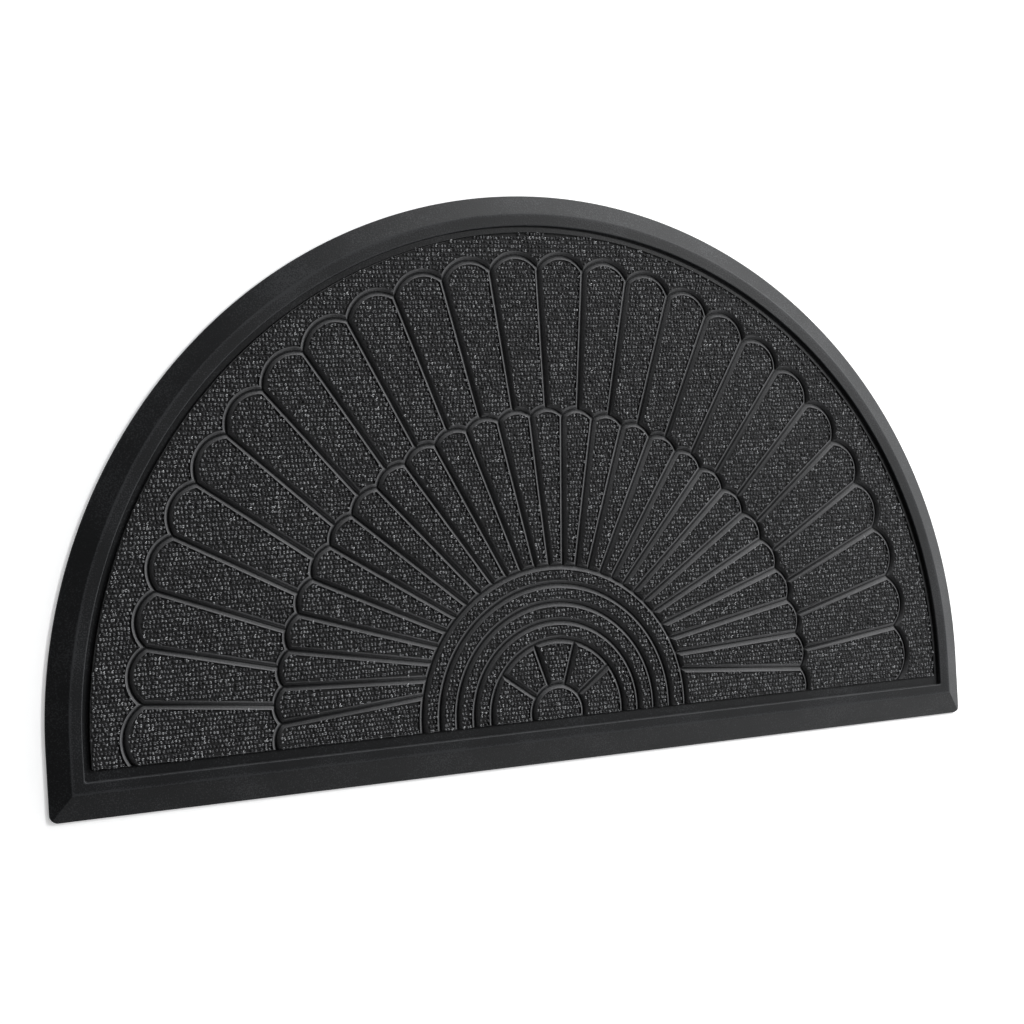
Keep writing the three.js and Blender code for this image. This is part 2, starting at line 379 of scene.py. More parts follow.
def ring_band(inside, outside, groove):
    centre = mat_point(*RING_CENTRE)
    return [
        (ring_foot(inside), base_edge(groove)),
        (ring_foot(outside), Arc(centre, outside, 1)),
        (ring_foot(-outside), base_edge(groove)),
        (ring_foot(-inside), Arc(centre, inside, -1)),
    ]


def fan_wedge(number, groove):
    outside = ring_radius(1)
    centre = mat_point(*RING_CENTRE)

    def spoke(k, radius):
        return polar(RING_CENTRE, radius, 180 * k / FAN_WEDGES)

    first = Straight(spoke(number - 1, HUB_RADIUS), spoke(number - 1, outside))
    last = Straight(spoke(number, outside), spoke(number, HUB_RADIUS))
    return [
        (spoke(number - 1, HUB_RADIUS), base_edge(groove) if number == 1 else first),
        (spoke(number - 1, outside), Arc(centre, outside, 1)),
        (spoke(number, outside), base_edge(groove) if number == FAN_WEDGES else last),
        (spoke(number, HUB_RADIUS), Arc(centre, HUB_RADIUS, -1)),
    ]


def hub(groove):
    return [
        (ring_foot(-HUB_RADIUS), base_edge(groove)),
        (ring_foot(HUB_RADIUS), Arc(mat_point(*RING_CENTRE), HUB_RADIUS, 1)),
    ]


def field_outline(groove, back):
    """The field round the fan: the mat's arc outside, and the scallops' outer sides inside."""
    more = max(back - groove / 2, -WEB_EDGE / 2)
    side, edge = (inset + more for inset in panel_inset())
    rim = outline(side, edge, INNER_CORNER)
    left_corner, rest = rim[: CORNER_STEPS + 1], rim[CORNER_STEPS + 1 :]
    base = base_edge(groove).moved(back)
    arcs = [outer_scallop(i, -1).moved(back) for i in range(1, OUTER["petals"] + 1)]
    feet = [base, *arcs, base]
    near = [outer_cusp(i) for i in range(OUTER["petals"] + 1)]
    corners = [meet(feet[k], feet[k + 1], p) for k, p in enumerate(near)]
    scallops = []
    for k, arc in enumerate(arcs):
        scallops += arc.points(corners[k], corners[k + 1])
    return rest + left_corner + scallops + [corners[-1]]


def panel_rings(groove, back):
    """Every panel's outline, that far back from the middle of its grooves."""
    shapes = [hub(groove)]
    shapes += [outer_petal(i, groove) for i in range(1, OUTER["petals"] + 1)]
    shapes += [inner_petal(j, groove) for j in range(1, INNER["petals"] + 2)]
    shapes += [ring_band(ring_radius(k), ring_radius(k + 1), groove) for k in range(1, RING_COUNT)]
    shapes += [fan_wedge(k, groove) for k in range(1, FAN_WEDGES + 1)]
    return [field_outline(groove, back)] + [panel_outline(edges, back) for edges in shapes]


# Materials


def linear(hex_colour):
    """An sRGB hex colour as the linear colour that a shader takes."""
    channels = [int(hex_colour[i : i + 2], 16) / 255 for i in (1, 3, 5)]
    return tuple(c / 12.92 if c <= 0.04045 else ((c + 0.055) / 1.055) ** 2.4 for c in channels)


def add(tree, kind, inputs=None, **settings):
    """Adds a node with its settings, and with a value or a link for each input named."""
    node = tree.nodes.new(kind)
    for name, value in settings.items():
        setattr(node, name, value)
    for name, value in (inputs or {}).items():
        if isinstance(value, bpy.types.NodeSocket):
            tree.links.new(value, node.inputs[name])
        else:
            node.inputs[name].default_value = value
    return node


def new_material(name):
    material = bpy.data.materials.new(name)
    material.use_nodes = True
    tree = material.node_tree
    shader = tree.nodes["Principled BSDF"]
    return material, tree, shader


def ramp(tree, factor, stops):
    """A colour ramp through (place, hex colour) stops."""
    node = add(tree, "ShaderNodeValToRGB", {"Fac": factor})
    elements = node.color_ramp.elements
    while len(elements) < len(stops):
        elements.new(0.5)
    for element, (place, colour) in zip(elements, stops):
        element.position = place
        element.color = (*linear(colour), 1)
    return node.outputs["Color"]


def rubber(name, dark, light, wear_and_highlight, specular):
    """Compression-moulded styrene-butadiene rubber: near black and matt, with the fine grain of a
    blasted mould. It is painted a little lighter on its crease, rim and lip, partly as scuffing and
    partly as a painted highlight on the crease and rim."""
    material, tree, shader = new_material(name)
    place = add(tree, "ShaderNodeTexCoord").outputs["Object"]
    cloud = add(tree, "ShaderNodeTexNoise", {"Vector": place, "Scale": 22.0, "Detail": 3.0})
    # The mould's grain is about 0.3 mm, and is drawn at 1 mm so that it shows
    grain = add(tree, "ShaderNodeTexNoise", {"Vector": place, "Scale": 950.0, "Detail": 2.0})
    mixed = add(
        tree,
        "ShaderNodeMath",
        {0: cloud.outputs["Fac"], 1: 0.6, 2: grain.outputs["Fac"]},
        operation="MULTIPLY_ADD",
    )
    # Lighter on the edges, partly wear and partly a painted highlight on the crease and rim
    wear_and_highlight_level = add(tree, "ShaderNodeAttribute", attribute_name="wear_and_highlight").outputs["Fac"]
    scuffed_and_lit = add(
        tree,
        "ShaderNodeMath",
        {0: wear_and_highlight_level, 1: 0.35, 2: mixed.outputs[0]},
        operation="MULTIPLY_ADD",
    )
    colour = ramp(tree, scuffed_and_lit.outputs[0], [(0.45, dark), (0.88, light), (1.0, wear_and_highlight)])
    bump = add(
        tree,
        "ShaderNodeBump",
        {"Strength": 0.6, "Distance": 0.0002, "Height": grain.outputs["Fac"]},
    )
    tree.links.new(colour, shader.inputs["Base Color"])
    tree.links.new(bump.outputs["Normal"], shader.inputs["Normal"])
    shader.inputs["Roughness"].default_value = 0.5
    shader.inputs["IOR"].default_value = 1.52
    shader.inputs["Specular IOR Level"].default_value = specular
    return material


def body_rubber_and_line_shade(colours):
    """The rubber of the base, which is also laid in the bottom of the pressed lines as painted
    shade.
    """
    made = bpy.data.materials.get(BODY_RUBBER_AND_LINE_SHADE)
    dark, light, wear_and_highlight = colours.rubber_dark, colours.rubber_light, colours.rubber_wear_and_highlight
    return made or rubber(BODY_RUBBER_AND_LINE_SHADE, dark, light, wear_and_highlight, specular=0.24)


def line_rubber(colours):
    """The smooth rubber that the mould presses up between the carpet's panels."""
    dark, light, wear_and_highlight = colours.line_dark, colours.line_light, colours.line_worn
    return rubber("smooth pressed rubber", dark, light, wear_and_highlight, specular=0.15)


def fibre(name, stops, roughness):
    """Polypropylene loop pile in a charcoal heather: dark matt fibres with a few bright ones that
    catch the light. Each strand's own shade is in the mesh."""
    material, tree, shader = new_material(name)
    place = add(tree, "ShaderNodeTexCoord").outputs["Object"]
    tuft = add(tree, "ShaderNodeAttribute", attribute_name="shade").outputs["Fac"]
    own = add(tree, "ShaderNodeAttribute", attribute_name="strand").outputs["Fac"]
    shade = add(tree, "ShaderNodeMath", {0: tuft, 1: 0.6, 2: own}, operation="MULTIPLY_ADD")
    # Filaments along a strand, a few tenths of a millimetre wide
    streak = add(tree, "ShaderNodeTexNoise", {"Vector": place, "Scale": 1800.0, "Detail": 1.0})
    mixed = add(
        tree,
        "ShaderNodeMath",
        {0: streak.outputs["Fac"], 1: 0.16, 2: shade.outputs[0]},
        operation="MULTIPLY_ADD",
    )
    tree.links.new(ramp(tree, mixed.outputs[0], stops), shader.inputs["Base Color"])
    shader.inputs["Roughness"].default_value = roughness
    shader.inputs["IOR"].default_value = 1.49
    shader.inputs["Sheen Weight"].default_value = 0.1
    shader.inputs["Sheen Roughness"].default_value = 0.5
    return material


def backing_fibre(colours):
    """The felted backing that shows between the loops."""
    stops = [(0.0, colours.backing), (1.0, colours.fibre_dark)]
    return fibre("needled polypropylene backing", stops, 0.9)


def yarn_fibre(colours):
    """The heather yarn of the loops, from its darkest strands to its brightest."""
    stops = [
        (0.0, colours.fibre_dark),
        (0.3, colours.fibre_dusky),
        (0.7, colours.fibre_mid),
        (0.9, colours.fibre_light),
        (1.0, colours.fibre_bright),
    ]
    return fibre("polypropylene heather yarn", stops, 0.6)


# Meshes


def mesh_object(name, vertices, faces, materials, face_materials=None, attributes=None):
    """A named object at the origin, with its place in its mesh, from points in metres."""
    mesh = bpy.data.meshes.new(name)
    mesh.from_pydata([tuple(v) for v in vertices], [], faces)
    for material in materials:
        mesh.materials.append(material)
    if face_materials is not None:
        mesh.polygons.foreach_set("material_index", face_materials)
    for key, values in (attributes or {}).items():
        layer = mesh.attributes.new(key, "FLOAT", "POINT")
        layer.data.foreach_set("value", np.asarray(values, np.float32))
    mesh.validate()
    mesh.shade_smooth()
    made = bpy.data.objects.new(name, mesh)
    bpy.context.scene.collection.objects.link(made)
    return made


def bevel_height(point, lip):
    """The height of the mitred bevel over a point, from the lip's height up to the crease."""
    up = point.imag + DEPTH / 2
    radius = abs(point - mat_point(0, ARC_CENTRE_UP))
    side = ARC_RADIUS - (radius if up > ARC_CENTRE_UP else abs(point.real))
    share = min(side / BEVEL[0], up / BEVEL[1])
    return lip + (MAT_TOP - lip) * min(max(share, 0), 1)


def base_levels(sizes):
    """The rubber base's level outlines, from the underside up and inwards to the carpet's seat.
    Each is (inset at the sides, inset below, corner radius, height or None on the bevel, wear and
    painted highlight)."""
    lip = sizes.lip_height / MM
    levels = [
        (0.5, 0.5, OUTER_CORNER - 0.5, 0.0, 0.0),
        (0.12, 0.12, OUTER_CORNER - 0.1, 0.15, 0.2),
        (0.0, 0.0, OUTER_CORNER, 0.5, 0.4),
        (0.0, 0.0, OUTER_CORNER, lip - 0.35, 0.5),
        (0.15, 0.18, OUTER_CORNER - 0.1, None, 0.7),
    ]
    for share in (0.05, 0.12, 0.3, 0.5, 0.7, 0.88, 0.96):
        radius = max(OUTER_CORNER * (1 - 3 * share), INNER_CORNER * 0.6)
        levels.append((BEVEL[0] * share, BEVEL[1] * share, radius, None, 0.15))
    # The crease is painted lighter, partly as wear and partly as a painted highlight
    round_ = sizes.crease_rounding / MM
    side, edge = BEVEL[0], BEVEL[1]
    levels += [
        (side - round_ * 0.3, edge - round_ * 0.3, 1.0, MAT_TOP - round_ * 0.18, 0.8),
        (side + round_ * 0.3, edge + round_ * 0.3, 1.0, MAT_TOP - round_ * 0.06, 0.9),
        (side + round_, edge + round_, 1.1, MAT_TOP - round_ * 0.08, 0.5),
    ]
    drop = MAT_TOP - RIM_TOP
    for share in (0.3, 0.6, 0.92):
        across = (BAND[0] * share, BAND[1] * share)
        levels.append((side + across[0], edge + across[1], 1.3, MAT_TOP - drop * share, 0.1))
    side, edge = side + BAND[0], edge + BAND[1]
    # The rim is painted lighter, partly as wear and partly as a painted highlight
    rim = sizes.rim_rounding / MM
    levels += [
        (side - rim * 0.35, edge - rim * 0.35, 1.4, RIM_TOP + 0.02, 0.6),
        (side + rim * 0.1, edge + rim * 0.1, 1.5, RIM_TOP - rim * 0.12, 1.0),
        (side + rim * 0.4, edge + rim * 0.4, 1.6, RIM_TOP - rim * 0.5, 0.8),
        (side + RIM_DRAFT, edge + RIM_DRAFT, 1.6, RIM_TOP - rim * 1.3, 0.2),
    ]
    side, edge = side + RIM_DRAFT, edge + RIM_DRAFT
    levels += [
        (side + 0.05, edge + 0.05, 1.7, CHANNEL_TOP + 0.4, 0.0),
        (side + 0.4, edge + 0.4, 1.7, CHANNEL_TOP, 0.0),
        (side + CHANNEL[0], edge + CHANNEL[1], 1.7, CHANNEL_TOP, 0.0),
        (side + CHANNEL[0], edge + CHANNEL[1], 1.7, SEAT_TOP, 0.0),
    ]
    return levels


def make_rubber_base(sizes, material):
    """The base as one skin over its level outlines, closed by the underside and the seat."""
    levels = base_levels(sizes)
    lip = sizes.lip_height / MM
    vertices, wear_and_highlight_level, faces = [], [], []
    for side, edge, radius, height, wear_and_highlight in levels:
        for p in outline(side, edge, radius):
            z = bevel_height(p, lip) if height is None else height
            vertices.append((p.real * MM, p.imag * MM, z * MM))
            wear_and_highlight_level.append(wear_and_highlight)
    count = len(vertices) // len(levels)
    for level in range(len(levels) - 1):
        for k in range(count):
            a, b = level * count + k, level * count + (k + 1) % count
            faces.append((a, b, b + count, a + count))
    last = (len(levels) - 1) * count
    faces.append(tuple(reversed(range(count))))
    faces.append(tuple(range(last, last + count)))
    base = mesh_object("moulded_base", vertices, faces, [material], attributes={"wear_and_highlight": wear_and_highlight_level})
    base.data.set_sharp_from_angle(angle=math.radians(24))
    return base


def pressed_face(sizes):
    """Triangles over the carpet, with nested outlines round each panel. Returns the points in the
    plane, the triangles, each one's depth in the nest, each point's height, and the sheet's edge."""
    groove = sizes.groove_width / MM
    top = sizes.backing_height / MM
    rise = GROOVE_TOP - GROOVE_BOTTOM
    steps = [(groove / 2 * share, GROOVE_BOTTOM + rise * up) for share, up in GROOVE_SECTION]
    for back, up in BACKING_EDGE:
        steps.append((groove / 2 + back, top + (GROOVE_TOP - top) * up))
    side, edge = panel_inset()
    rings = [(outline(side - WEB_EDGE, edge - WEB_EDGE, INNER_CORNER), CHANNEL_TOP, 0)]
    for depth, (back, height) in enumerate(steps, 1):
        rings += [(ring, height, depth) for ring in panel_rings(groove, back)]
    points, loops, heights = [], [], []
    for ring, height, _ in rings:
        loops.append(list(range(len(points), len(points) + len(ring))))
        points += [Vector((p.real, p.imag)) for p in ring]
        heights += [height] * len(ring)
    found, _, triangles, sources, _, inside = delaunay_2d_cdt(points, [], loops, 1, 1e-5)
    z = [heights[s[0]] if s else CHANNEL_TOP for s in sources]
    depth = [max(rings[i][2] for i in owners) for owners in inside]
    place = {source: k for k, own in enumerate(sources) for source in own}
    edge_points = [place[k] for k in range(len(rings[0][0]))]
    return found, triangles, depth, z, edge_points


def make_carpet_sheet(sizes, materials):
    """The sheet, its upper points, and the triangles of the panels' tops. Its materials are the body
    rubber, which also paints shade into the bottom of the lines, the lines' rubber and the backing."""
    found, triangles, depth, z, edge_points = pressed_face(sizes)
    vertices = [(p.x * MM, p.y * MM, h * MM) for p, h in zip(found, z)]
    upper = [v for k, v in enumerate(edge_points) if v != edge_points[k - 1]]
    lower = list(range(len(vertices), len(vertices) + len(upper)))
    vertices += [(vertices[v][0], vertices[v][1], SHEET_BOTTOM * MM) for v in upper]
    faces = [tuple(t) for t in triangles]
    edge_of_rubber = len(GROOVE_SECTION)
    # The lowest bands of each line take the dark body rubber as painted shade
    slots_with_painted_shade = [0 if d < PAINTED_SHADE_BANDS else 1 if d < edge_of_rubber else 2 for d in depth]
    for k in range(len(upper)):
        n = (k + 1) % len(upper)
        faces.append((lower[k], lower[n], upper[n], upper[k]))
        slots_with_painted_shade.append(0)
    faces.append(tuple(reversed(lower)))
    slots_with_painted_shade.append(0)
    sheet = mesh_object("carpet_sheet", vertices, faces, materials, slots_with_painted_shade)
    sheet.data.set_sharp_from_angle(angle=math.radians(50))
    deepest = edge_of_rubber + len(BACKING_EDGE)
    tops = [t for t, d in zip(triangles, depth) if d == deepest]
    return sheet, vertices[: len(found)], tops


# The pile, as looped tufts in ribs


def strand(start, end, height, bend, radius):
    """The points and faces of one strand that arches from start to end, with pointed ends."""
    along = (end - start).normalized()
    across = Vector((-along.y, along.x, 0))
    thickness = (0.0, 0.85, 1.0, 0.85, 0.0)
    vertices, faces, rings = [], [], []
    for k, thick in enumerate(thickness):
        share = k / (len(thickness) - 1)
        middle = start.lerp(end, share) + across * (bend * math.sin(math.pi * share))
        middle.z += height * 4 * share * (1 - share)
        ring = []
        for side in range(3 if thick else 1):
            a = math.radians(90 + 120 * side)
            ring.append(len(vertices))
            out = across * math.cos(a) + Vector((0, 0, math.sin(a)))
            vertices.append(middle + out * (radius * thick))
        rings.append(ring)
    for a, b in zip(rings, rings[1:]):
        for side in range(3):
            n = (side + 1) % 3
            if len(a) == 1:
                faces.append((a[0], b[n], b[side]))
            elif len(b) == 1:
                faces.append((a[side], a[n], b[0]))
            else:
                faces.append((a[side], a[n], b[n], b[side]))
    return vertices, faces


def make_tuft(name, pile, chance, material):
    """A loop of two strands side by side, of which one may lie loose across the other."""
    length, width = pile.tuft_length, pile.tuft_width
    vertices, faces, shade = [], [], []
    for y in (-0.22 * width, 0.22 * width):
        start = Vector((-length / 2, y * chance.uniform(0.3, 1.0), 0))
        end = Vector((length / 2, y * chance.uniform(0.3, 1.0), 0))
        height = pile.pile_height * chance.uniform(0.8, 1.1)
        bend = y * 0.7 + width * chance.uniform(-0.15, 0.15)
        radius, tone = width * 0.29, chance.uniform(-0.12, 0.12)
        if chance.random() < pile.loose_share:
            slant = chance.uniform(-0.9, 0.9) * width
            start, end = start + Vector((0, slant, 0)), end - Vector((0, slant, 0))
            height, radius, tone = height + width * 0.2, radius * 0.6, 0.28
        points, sides = strand(start, end, height, bend, radius)
        faces += [tuple(len(vertices) + v for v in face) for face in sides]
        vertices += points
        shade += [tone] * len(points)
    return mesh_object(name, vertices, faces, [material], attributes={"strand": shade})


def pile_tree(name):
    """Geometry nodes that set tufts in ribs on the panels' tops."""
    tree = bpy.data.node_groups.new(name, "GeometryNodeTree")
    face = tree.interface
    face.new_socket("Geometry", in_out="OUTPUT", socket_type="NodeSocketGeometry")
    face.new_socket("Panel tops", in_out="INPUT", socket_type="NodeSocketGeometry")
    for label, kind in (
        ("Left end", "Float"),
        ("Right end", "Float"),
        ("Depth", "Float"),
        ("Middle", "Float"),
        ("Rib spacing", "Float"),
        ("Tuft spacing", "Float"),
        ("Unevenness", "Float"),
        ("Backing height", "Float"),
        ("Seed", "Int"),
        ("Tufts", "Collection"),
        ("Material", "Material"),
    ):
        face.new_socket(label, in_out="INPUT", socket_type="NodeSocket" + kind)
    given = add(tree, "NodeGroupInput").outputs

    def calc(operation, *values):
        inputs = dict(enumerate(values))
        return add(tree, "ShaderNodeMath", inputs, operation=operation).outputs[0]

    def chance(low, high, seed, **identity):
        inputs = {"Min": low, "Max": high, "Seed": calc("ADD", given["Seed"], seed), **identity}
        node = add(tree, "FunctionNodeRandomValue", inputs, data_type="FLOAT")
        return node.outputs["Value"]

    def vector(x, y, z):
        return add(tree, "ShaderNodeCombineXYZ", {"X": x, "Y": y, "Z": z}).outputs[0]

    ribs = calc("ROUND", calc("DIVIDE", given["Depth"], given["Rib spacing"]))
    width = calc("SUBTRACT", given["Right end"], given["Left end"])
    columns = calc("ROUND", calc("DIVIDE", width, given["Tuft spacing"]))
    grid = add(
        tree,
        "GeometryNodeMeshGrid",
        {"Size X": width, "Size Y": 1.0, "Vertices X": columns, "Vertices Y": ribs},
    )
    position = add(tree, "GeometryNodeInputPosition").outputs[0]
    x = add(tree, "ShaderNodeSeparateXYZ", {0: position}).outputs["X"]
    index = add(tree, "GeometryNodeInputIndex").outputs[0]
    rib = calc("FLOORED_MODULO", index, ribs)

    # Each rib starts at a place of its own, and each tuft strays a little along and across it. The
    # points start well above the mat.
    along_rib = calc("MULTIPLY", chance(-0.5, 0.5, 1, ID=rib), given["Tuft spacing"])
    stray_x = calc("MULTIPLY", chance(-1.0, 1.0, 2), given["Unevenness"])
    stray_y = calc("MULTIPLY", chance(-0.6, 0.6, 3), given["Unevenness"])
    middle_x = calc("MULTIPLY", calc("ADD", given["Left end"], given["Right end"]), 0.5)
    new_x = calc("ADD", calc("ADD", x, middle_x), calc("ADD", along_rib, stray_x))
    half = calc("MULTIPLY", calc("SUBTRACT", ribs, 1.0), 0.5)
    rib_y = calc("MULTIPLY", calc("SUBTRACT", rib, half), given["Rib spacing"])
    new_y = calc("ADD", calc("ADD", rib_y, given["Middle"]), stray_y)
    placed = add(
        tree,
        "GeometryNodeSetPosition",
        {"Geometry": grid.outputs["Mesh"], "Position": vector(new_x, new_y, 0.05)},
    )

    # Points with no panel top below them go, and the rest sink to the backing
    ray = add(
        tree,
        "GeometryNodeRaycast",
        {"Target Geometry": given["Panel tops"], "Ray Direction": (0, 0, -1), "Ray Length": 1.0},
    )
    missed = add(tree, "FunctionNodeBooleanMath", {0: ray.outputs["Is Hit"]}, operation="NOT")
    kept = add(
        tree,
        "GeometryNodeDeleteGeometry",
        {"Geometry": placed.outputs[0], "Selection": missed.outputs[0]},
    )
    now = add(tree, "ShaderNodeSeparateXYZ", {0: position}).outputs
    root = calc("SUBTRACT", given["Backing height"], chance(0.0001, 0.0004, 4))
    rested = add(
        tree,
        "GeometryNodeSetPosition",
        {"Geometry": kept.outputs[0], "Position": vector(now["X"], now["Y"], root)},
    )

    # Each point carries one of the tufts, with a turn, size and shade of its own
    turned = vector(chance(-0.35, 0.35, 5), chance(-0.2, 0.2, 6), chance(-0.55, 0.55, 7))
    size = vector(chance(0.75, 1.2, 8), chance(0.75, 1.25, 9), chance(0.65, 1.1, 10))
    tufts = add(
        tree,
        "GeometryNodeCollectionInfo",
        {"Collection": given["Tufts"], "Separate Children": True, "Reset Children": True},
    )
    pick = add(
        tree,
        "FunctionNodeRandomValue",
        {"Min": 0, "Max": TUFT_KINDS - 1, "Seed": calc("ADD", given["Seed"], 11)},
        data_type="INT",
    )
    whole = next(s for s in pick.outputs if s.enabled)
    planted = add(
        tree,
        "GeometryNodeInstanceOnPoints",
        {
            "Points": rested.outputs[0],
            "Instance": tufts.outputs[0],
            "Pick Instance": True,
            "Instance Index": whole,
            "Rotation": turned,
            "Scale": size,
        },
    )
    shaded = add(
        tree,
        "GeometryNodeStoreNamedAttribute",
        {"Geometry": planted.outputs[0], "Name": "shade", "Value": chance(0.0, 1.0, 12)},
        data_type="FLOAT",
        domain="INSTANCE",
    )
    real = add(tree, "GeometryNodeRealizeInstances", {"Geometry": shaded.outputs[0]})
    finished = add(
        tree,
        "GeometryNodeSetMaterial",
        {"Geometry": real.outputs[0], "Material": given["Material"]},
    )
    add(tree, "NodeGroupOutput", {"Geometry": finished.outputs[0]})
    return tree


def set_inputs(modifier, values):
    """Sets a modifier's inputs by their sockets' identifiers."""
    for socket in modifier.node_group.interface.items_tree:
        if socket.in_out == "INPUT" and socket.name in values:
            modifier[socket.identifier] = values[socket.name]


def baked(source, name):
    """A plain mesh object from an object's evaluated modifiers."""
    graph = bpy.context.evaluated_depsgraph_get()
    mesh = bpy.data.meshes.new_from_object(source.evaluated_get(graph))
    mesh.name = name
    made = bpy.data.objects.new(name, mesh)
    bpy.context.scene.collection.objects.link(made)
    return made


def remove(*objects):
    """Deletes objects with their meshes."""
    for o in objects:
        mesh = o.data
        bpy.data.objects.remove(o)
        bpy.data.meshes.remove(mesh)


def make_pile(pile, backing_height, vertices, tops, material):
    """The pile in several stretches from left to right, each a piece of its own."""
    tufts = bpy.data.collections.new("tufts")
    chance = random.Random(pile.seed)
    for k in range(TUFT_KINDS):
        tuft = make_tuft(f"tuft_{k}", pile, chance, material)
        bpy.context.scene.collection.objects.unlink(tuft)
        tufts.objects.link(tuft)
    tree = pile_tree("Loop pile in ribs")
    source = mesh_object("panel_tops", vertices, [tuple(t) for t in tops], [material])
    modifier = source.modifiers.new("Loop pile in ribs", "NODES")
    modifier.node_group = tree
    left, right = CARPET_BOX[0].x, CARPET_BOX[1].x
    low, high = CARPET_BOX[0].y, CARPET_BOX[1].y
    made = []
    for k in range(len(PILE_ENDS) - 1):
        set_inputs(modifier, {
            "Left end": left + (right - left) * PILE_ENDS[k],
            "Right end": left + (right - left) * PILE_ENDS[k + 1],
            "Depth": high - low,
            "Middle": (low + high) / 2,
            "Rib spacing": pile.rib_spacing,
            "Tuft spacing": pile.tuft_spacing,
            "Unevenness": pile.unevenness,
            "Backing height": backing_height,
            "Seed": pile.seed + 100 * k,
            "Tufts": tufts,
            "Material": material,
        })
        source.data.update()
        source.update_tag()
        bpy.context.view_layer.update()
        made.append(baked(source, f"pile_{k + 1}"))
    remove(source, *tufts.objects)
    bpy.data.collections.remove(tufts)
    return made


# Settings


class MatSizes(bpy.types.PropertyGroup):
    lip_height: bpy.props.FloatProperty(
        name="Lip height", description="Height of the thin outer edge",
        default=0.0015, min=0.0008, max=0.003, precision=4, unit="LENGTH",
    )
    crease_rounding: bpy.props.FloatProperty(
        name="Crease rounding", description="Width of the rounding between bevel and band",
        default=0.0008, min=0.0002, max=0.002, precision=4, unit="LENGTH",
    )
    rim_rounding: bpy.props.FloatProperty(
        name="Rim rounding", description="Radius of the band's inner edge",
        default=0.0009, min=0.0002, max=0.0015, precision=4, unit="LENGTH",
    )
    groove_width: bpy.props.FloatProperty(
        name="Groove width", description="Width of the pressed lines",
        default=0.0058, min=0.003, max=0.007, precision=4, unit="LENGTH",
    )
    backing_height: bpy.props.FloatProperty(
        name="Backing height", description="Height of the carpet's backing above the floor",
        default=0.0078, min=0.0072, max=0.0085, precision=4, unit="LENGTH",
    )


class MatPile(bpy.types.PropertyGroup):
    rib_spacing: bpy.props.FloatProperty(
        name="Rib spacing", description="Distance between the ribs",
        default=0.0032, min=0.002, max=0.006, precision=4, unit="LENGTH",
    )
    tuft_spacing: bpy.props.FloatProperty(
        name="Tuft spacing", description="Distance between tufts along a rib",
        default=0.0025, min=0.0023, max=0.006, precision=4, unit="LENGTH",
    )
    tuft_length: bpy.props.FloatProperty(
        name="Tuft length", description="Length of one loop along its rib",
        default=0.0022, min=0.002, max=0.006, precision=4, unit="LENGTH",
    )
    tuft_width: bpy.props.FloatProperty(
        name="Tuft width", description="Width of one loop across its rib",
        default=0.0017, min=0.0008, max=0.003, precision=4, unit="LENGTH",
    )
    pile_height: bpy.props.FloatProperty(
        name="Pile height", description="Height of a loop above the backing",
        default=0.0014, min=0.0005, max=0.003, precision=4, unit="LENGTH",
    )
    unevenness: bpy.props.FloatProperty(
        name="Unevenness", description="How far tufts stray from their even spacing",
        default=0.0006, min=0.0, max=0.001, precision=4, unit="LENGTH",
    )
    loose_share: bpy.props.FloatProperty(
        name="Loose strands", description="Share of strands that lie across their tuft",
        default=0.16, min=0.0, max=1.0, subtype="FACTOR",
    )
    seed: bpy.props.IntProperty(
        name="Seed", description="Fixed seed for the tufts' places and shades", default=7, min=0,
    )


class MatColours(bpy.types.PropertyGroup):
    rubber_dark: bpy.props.StringProperty(
        name="Rubber", description="The rubber's main colour, as sRGB hex", default="#0c0d0e",
    )
    rubber_light: bpy.props.StringProperty(
        name="Rubber bloom", description="The rubber's lighter patches, as sRGB hex",
        default="#141517",
    )
    # Colour of the scuffed edges, which also paints a highlight on the crease and rim
    rubber_wear_and_highlight: bpy.props.StringProperty(
        name="Rubber, worn", description="The rubber's scuffed edges, as sRGB hex",
        default="#2a2b2d",
    )
    line_dark: bpy.props.StringProperty(
        name="Pressed lines", description="Smooth rubber on the lines' sides, as sRGB hex",
        default="#3e3e3f",
    )
    line_light: bpy.props.StringProperty(
        name="Pressed lines, light", description="The lines' lighter patches, as sRGB hex",
        default="#515152",
    )
    line_worn: bpy.props.StringProperty(
        name="Pressed lines, worn", description="The lines' lightest grain, as sRGB hex",
        default="#565657",
    )
    backing: bpy.props.StringProperty(
        name="Backing", description="The carpet's backing between the loops, as sRGB hex",
        default="#08080a",
    )
    fibre_dark: bpy.props.StringProperty(
        name="Dark fibre", description="The heather's darkest strands, as sRGB hex",
        default="#1c1c1e",
    )
    fibre_dusky: bpy.props.StringProperty(
        name="Dusky fibre", description="Strands a shade above the darkest, as sRGB hex",
        default="#4c4c4f",
    )
    fibre_mid: bpy.props.StringProperty(
        name="Charcoal fibre", description="Most of the strands, as sRGB hex", default="#8f9092",
    )
    fibre_light: bpy.props.StringProperty(
        name="Light fibre", description="Strands a shade below the brightest, as sRGB hex",
        default="#bcbdbf",
    )
    fibre_bright: bpy.props.StringProperty(
        name="Bright fibre", description="The few brightest strands, as sRGB hex", default="#e0e1e3",
    )


class MatStage(bpy.types.PropertyGroup):
    key_power: bpy.props.FloatProperty(
        name="Key light", description="Power of the light at the upper right",
        default=34.0, min=0.0, unit="POWER",
    )
    studio_strength: bpy.props.FloatProperty(
        name="Studio light", description="Share of the soft studio lights' strength",
        default=1.0, min=0.0,
    )
    floor_glow: bpy.props.FloatProperty(
        name="Floor glow", description="How much of the floor's white is its own",
        default=0.35, min=0.0, max=2.0,
    )


SETTINGS = {
    "mat_sizes": MatSizes,
    "mat_pile": MatPile,
    "mat_colours": MatColours,
    "mat_stage": MatStage,
}


# Camera and stage


